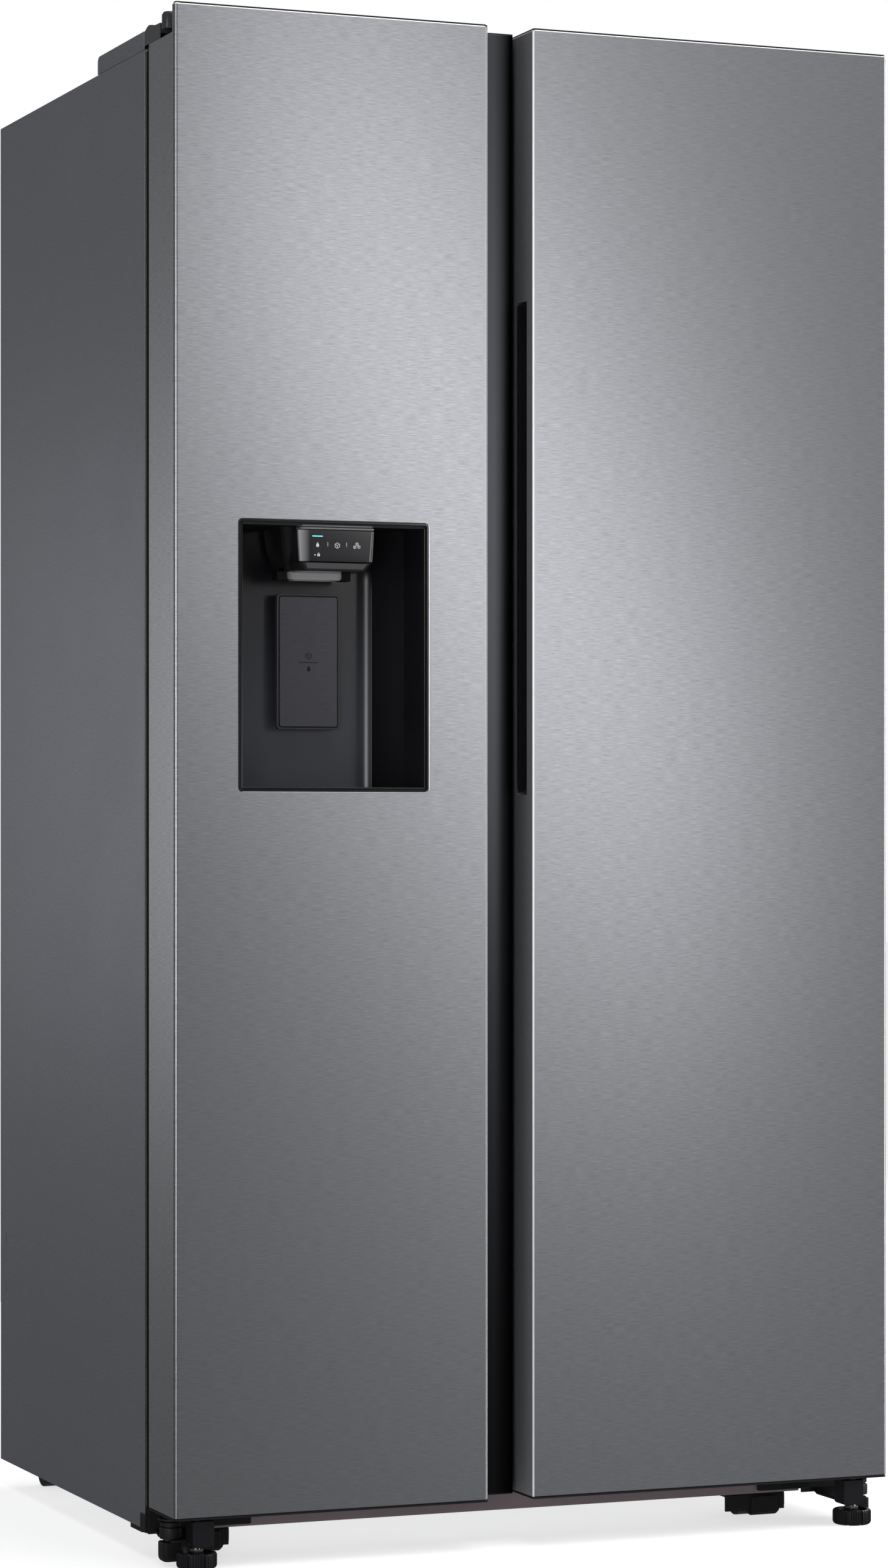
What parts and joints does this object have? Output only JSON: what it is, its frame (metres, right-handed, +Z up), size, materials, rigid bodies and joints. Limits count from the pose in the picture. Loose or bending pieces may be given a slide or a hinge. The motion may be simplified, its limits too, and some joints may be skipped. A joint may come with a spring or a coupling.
{
  "type": "side by side refrigerator",
  "caption": "Side by side refrigerator and freezer with hinged steel doors, a centre grip recess and an ice and water dispenser in the freezer door.",
  "frame": {"origin": "on the floor, under the middle of the appliance's outer box", "axes": "+X to the right seen from the front, +Y from the doors to the back, +Z up"},
  "size_m": [0.912, 0.716, 1.7895],
  "materials": {
    "brushed_steel": "satin",
    "case_paint": "satin",
    "zinc_steel": "satin",
    "dark_steel": "satin",
    "rail_paint": "satin",
    "black_plastic": "matte",
    "gloss_black": "gloss",
    "liner": "satin",
    "foam": "matte",
    "clear_plastic": "gloss",
    "shelf_glass": "gloss",
    "gasket_rubber": "matte",
    "grey_plastic": "satin",
    "aluminium": "satin",
    "compressor_paint": "satin"
  },
  "bodies": {
    "cabinet": {"side_panel_left": "case_paint", "side_panel_right": "case_paint", "top_panel": "case_paint", "back_panel": "zinc_steel", "insulation": "foam", "freezer_liner": "liner", "fridge_liner": "liner", "base_pan": "zinc_steel", "base_rail": "rail_paint", "roller_housing_left": "black_plastic", "roller_housing_right": "black_plastic", "top_hinge_left": "dark_steel", "top_hinge_right": "dark_steel", "hinge_cover_left": "case_paint", "hinge_cover_right": "case_paint", "bottom_hinge_left": "dark_steel", "bottom_hinge_right": "dark_steel", "compressor": "compressor_paint", "condenser": "dark_steel", "water_valve": "grey_plastic", "machine_cover": "zinc_steel", "power_inlet": "black_plastic", "evaporator_cover": "liner", "evaporator": "aluminium", "freezer_shelf": "clear_plastic", "ice_maker": "grey_plastic", "fridge_shelf_lower": "shelf_glass", "fridge_shelf_middle": "shelf_glass", "fridge_shelf_upper": "shelf_glass"},
    "freezer_door": {"freezer_door_skin": "brushed_steel", "freezer_door_core": "black_plastic", "freezer_door_gasket": "gasket_rubber", "freezer_door_liner": "liner", "freezer_door_bin_lower": "clear_plastic", "freezer_door_bin_upper": "clear_plastic", "dispenser_housing": "gloss_black", "dispenser_control_box": "gloss_black"},
    "fridge_door": {"fridge_door_skin": "brushed_steel", "fridge_door_core": "black_plastic", "fridge_door_gasket": "gasket_rubber", "fridge_door_liner": "liner", "fridge_door_bin_lower": "clear_plastic", "fridge_door_bin_middle": "clear_plastic", "fridge_door_bin_upper": "clear_plastic"},
    "dispenser_lever": {"dispenser_lever": "dark_steel"},
    "chute_flap": {"chute_flap": "grey_plastic"},
    "front_foot_left": {"front_foot_left": "black_plastic"},
    "front_foot_right": {"front_foot_right": "black_plastic"},
    "front_roller_left": {"front_roller_left": "black_plastic"},
    "front_roller_right": {"front_roller_right": "black_plastic"},
    "rear_roller_left": {"rear_roller_left": "black_plastic"},
    "rear_roller_right": {"rear_roller_right": "black_plastic"},
    "condenser_fan": {"condenser_fan": "black_plastic"},
    "evaporator_fan": {"evaporator_fan": "black_plastic"},
    "ice_bucket": {"ice_bucket": "clear_plastic"},
    "ice_auger": {"ice_auger": "aluminium"},
    "freezer_drawer_upper": {"freezer_drawer_upper": "clear_plastic"},
    "freezer_drawer_lower": {"freezer_drawer_lower": "clear_plastic"},
    "crisper_upper": {"crisper_upper": "clear_plastic"},
    "crisper_lower": {"crisper_lower": "clear_plastic"}
  },
  "joints": [
    {"name": "freezer_door_hinge", "type": "hinge", "parent": "cabinet", "child": "freezer_door", "pos_m": [-0.443, -0.304, 0.058], "axis": [0, 0, -1], "range_deg": [0, 125]},
    {"name": "fridge_door_hinge", "type": "hinge", "parent": "cabinet", "child": "fridge_door", "pos_m": [0.443, -0.304, 0.058], "axis": [0, 0, 1], "range_deg": [0, 125]},
    {"name": "dispenser_lever_pivot", "type": "hinge", "parent": "freezer_door", "child": "dispenser_lever", "pos_m": [-0.26165, -0.274, 1.128], "axis": [1, 0, 0], "range_deg": [0, 4], "stiffness_Nm_per_rad": 4, "springref_deg": -2.86},
    {"name": "chute_flap_pivot", "type": "hinge", "parent": "freezer_door", "child": "chute_flap", "pos_m": [-0.26165, -0.263, 1.185], "axis": [-1, 0, 0], "range_deg": [0, 32]},
    {"name": "front_foot_left_screw", "type": "hinge", "parent": "cabinet", "child": "front_foot_left", "pos_m": [-0.421, -0.333, 0], "axis": [0, 0, 1], "continuous": true},
    {"name": "front_foot_right_screw", "type": "hinge", "parent": "cabinet", "child": "front_foot_right", "pos_m": [0.421, -0.333, 0], "axis": [0, 0, 1], "continuous": true},
    {"name": "front_roller_left_axle", "type": "hinge", "parent": "cabinet", "child": "front_roller_left", "pos_m": [-0.397, -0.222, 0.0205], "axis": [1, 0, 0], "continuous": true},
    {"name": "front_roller_right_axle", "type": "hinge", "parent": "cabinet", "child": "front_roller_right", "pos_m": [0.327, -0.222, 0.0205], "axis": [1, 0, 0], "continuous": true},
    {"name": "rear_roller_left_axle", "type": "hinge", "parent": "cabinet", "child": "rear_roller_left", "pos_m": [-0.4, 0.318, 0.022], "axis": [1, 0, 0], "continuous": true},
    {"name": "rear_roller_right_axle", "type": "hinge", "parent": "cabinet", "child": "rear_roller_right", "pos_m": [0.4, 0.318, 0.022], "axis": [1, 0, 0], "continuous": true},
    {"name": "condenser_fan_shaft", "type": "hinge", "parent": "cabinet", "child": "condenser_fan", "pos_m": [-0.06, 0.255, 0.12], "axis": [1, 0, 0], "continuous": true},
    {"name": "evaporator_fan_shaft", "type": "hinge", "parent": "cabinet", "child": "evaporator_fan", "pos_m": [-0.23, 0.236, 0.9], "axis": [0, 1, 0], "continuous": true},
    {"name": "ice_bucket_slide", "type": "slide", "parent": "cabinet", "child": "ice_bucket", "axis": [0, -1, 0], "range_m": [0, 0.27]},
    {"name": "ice_auger_shaft", "type": "hinge", "parent": "ice_bucket", "child": "ice_auger", "pos_m": [-0.23, 0, 1.262], "axis": [0, 1, 0], "continuous": true},
    {"name": "freezer_drawer_upper_slide", "type": "slide", "parent": "cabinet", "child": "freezer_drawer_upper", "axis": [0, -1, 0], "range_m": [0, 0.27]},
    {"name": "freezer_drawer_lower_slide", "type": "slide", "parent": "cabinet", "child": "freezer_drawer_lower", "axis": [0, -1, 0], "range_m": [0, 0.27]},
    {"name": "crisper_upper_slide", "type": "slide", "parent": "cabinet", "child": "crisper_upper", "axis": [0, -1, 0], "range_m": [0, 0.27]},
    {"name": "crisper_lower_slide", "type": "slide", "parent": "cabinet", "child": "crisper_lower", "axis": [0, -1, 0], "range_m": [0, 0.27]}
  ],
  "couplings": [
    {"joint": "ice_bucket_slide", "follows": "freezer_door_hinge", "m_per_rad": 0.119},
    {"joint": "freezer_drawer_upper_slide", "follows": "freezer_door_hinge", "m_per_rad": 0.119},
    {"joint": "freezer_drawer_lower_slide", "follows": "freezer_door_hinge", "m_per_rad": 0.119},
    {"joint": "crisper_upper_slide", "follows": "fridge_door_hinge", "m_per_rad": 0.119},
    {"joint": "crisper_lower_slide", "follows": "fridge_door_hinge", "m_per_rad": 0.119},
    {"joint": "chute_flap_pivot", "follows": "dispenser_lever_pivot", "ratio": 7.5}
  ]
}
